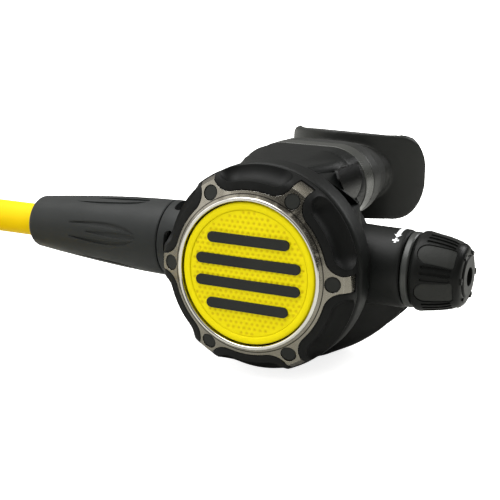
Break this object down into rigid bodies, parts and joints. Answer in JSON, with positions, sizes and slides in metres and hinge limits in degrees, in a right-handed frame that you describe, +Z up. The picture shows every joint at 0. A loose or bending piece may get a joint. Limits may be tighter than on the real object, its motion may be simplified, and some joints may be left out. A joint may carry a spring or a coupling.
{
  "type": "scuba second stage regulator with hose",
  "caption": "Breathing second stage with a domed purge button in a star bezel, side adjusting knob, mouthpiece, exhaust tee and a coiled low-pressure hose",
  "frame": {"origin": "middle of the underside of the second stage, at the height of the exhaust tee's flat foot, measured without the hose", "axes": "-Y is the front with the purge button, +Y the mouthpiece, +X the adjusting knob, -X the hose inlet, +Z up"},
  "size_m": [0.3188, 0.2079, 0.078],
  "materials": {
    "cover_rubber": "matte",
    "case_nylon": "matte",
    "bezel_steel": "satin",
    "plug_grey": "matte",
    "button_yellow": "matte",
    "grip_black": "matte",
    "inner_nylon": "matte",
    "ring_white": "satin",
    "spring_steel": "satin",
    "silicone_grey": "matte",
    "stainless": "satin",
    "barrel_chrome": "polished",
    "orifice_brass": "polished",
    "o_ring_black": "satin",
    "seat_rubber": "matte",
    "collar_grey": "satin",
    "knob_black": "matte",
    "pad_grey": "matte",
    "hose_yellow": "satin",
    "ferrule_steel": "satin",
    "protector_rubber": "matte",
    "tee_rubber": "matte",
    "mouth_silicone": "matte",
    "clamp_grey": "satin",
    "plate_black": "satin"
  },
  "bodies": {
    "hose": {"hose_stem": "barrel_chrome", "swivel_o_ring": "o_ring_black", "hose_ferrule": "ferrule_steel", "hose_end": "hose_yellow", "hose_protector": "protector_rubber", "hose_run": "hose_yellow", "hose_coil": "hose_yellow", "end_ferrule": "ferrule_steel", "end_fitting": "barrel_chrome", "end_o_ring": "o_ring_black"},
    "purge": {"purge_button": "button_yellow", "button_bars": "grip_black"},
    "diaphragm_centre": {"diaphragm_plate": "stainless"},
    "lever": {"demand_lever": "stainless"},
    "poppet_body": {"poppet": "ring_white", "poppet_seat": "seat_rubber"},
    "knob_body": {"knob": "knob_black", "knob_pads": "pad_grey", "knob_cap": "knob_black", "adjust_stem": "stainless", "stem_o_ring": "o_ring_black"},
    "adjuster": {"spring_pad": "stainless"},
    "case": {"housing": "case_nylon", "front_cover": "cover_rubber", "cover_bezel": "bezel_steel", "bezel_plugs": "plug_grey", "spring_cage": "inner_nylon", "purge_spring": "spring_steel", "slip_ring": "ring_white", "diaphragm": "silicone_grey", "valve_barrel": "barrel_chrome", "barrel_nut": "stainless", "orifice": "orifice_brass", "orifice_o_ring": "o_ring_black", "poppet_spring": "spring_steel", "lever_pin": "stainless", "arm_collar": "collar_grey", "inlet_collar": "collar_grey", "hose_nut": "barrel_chrome", "exhaust_valve": "silicone_grey", "exhaust_tee": "tee_rubber", "mouthpiece": "mouth_silicone", "mouthpiece_clamp": "clamp_grey", "side_plate": "plate_black"}
  },
  "joints": [
    {"name": "hose_swivel", "type": "hinge", "parent": "hose", "child": "case", "pos_m": [-0.0302, -0.01483, 0.0385], "axis": [1, 0, 0], "continuous": true},
    {"name": "purge_press", "type": "slide", "parent": "case", "child": "purge", "axis": [0, 1, 0], "range_m": [0, 0.003], "stiffness_N_per_m": 1500, "springref_m": -0.002, "deforming": ["purge_spring"]},
    {"name": "diaphragm_lift", "type": "slide", "parent": "case", "child": "diaphragm_centre", "axis": [0, 1, 0], "range_m": [0, 0.003], "deforming": ["diaphragm"]},
    {"name": "lever_pivot", "type": "hinge", "parent": "case", "child": "lever", "pos_m": [0.0267, -0.01983, 0.0385], "axis": [0, 0, 1], "range_deg": [-9.6, 0]},
    {"name": "poppet_slide", "type": "slide", "parent": "case", "child": "poppet_body", "axis": [1, 0, 0], "range_m": [0, 0.00075], "stiffness_N_per_m": 2500, "springref_m": -0.001, "deforming": ["poppet_spring"]},
    {"name": "knob_turn", "type": "hinge", "parent": "case", "child": "knob_body", "pos_m": [0.0787, -0.01483, 0.0385], "axis": [1, 0, 0], "range_deg": [-540, 540]},
    {"name": "adjuster_slide", "type": "slide", "parent": "knob_body", "child": "adjuster", "axis": [1, 0, 0], "range_m": [-0.0015, 0.0015]}
  ],
  "couplings": [
    {"joint": "diaphragm_lift", "follows": "purge_press", "ratio": 1},
    {"joint": "lever_pivot", "follows": "purge_press", "rad_per_m": -55.56},
    {"joint": "poppet_slide", "follows": "purge_press", "ratio": 0.2444},
    {"joint": "adjuster_slide", "follows": "knob_turn", "m_per_rad": 0.000159}
  ]
}
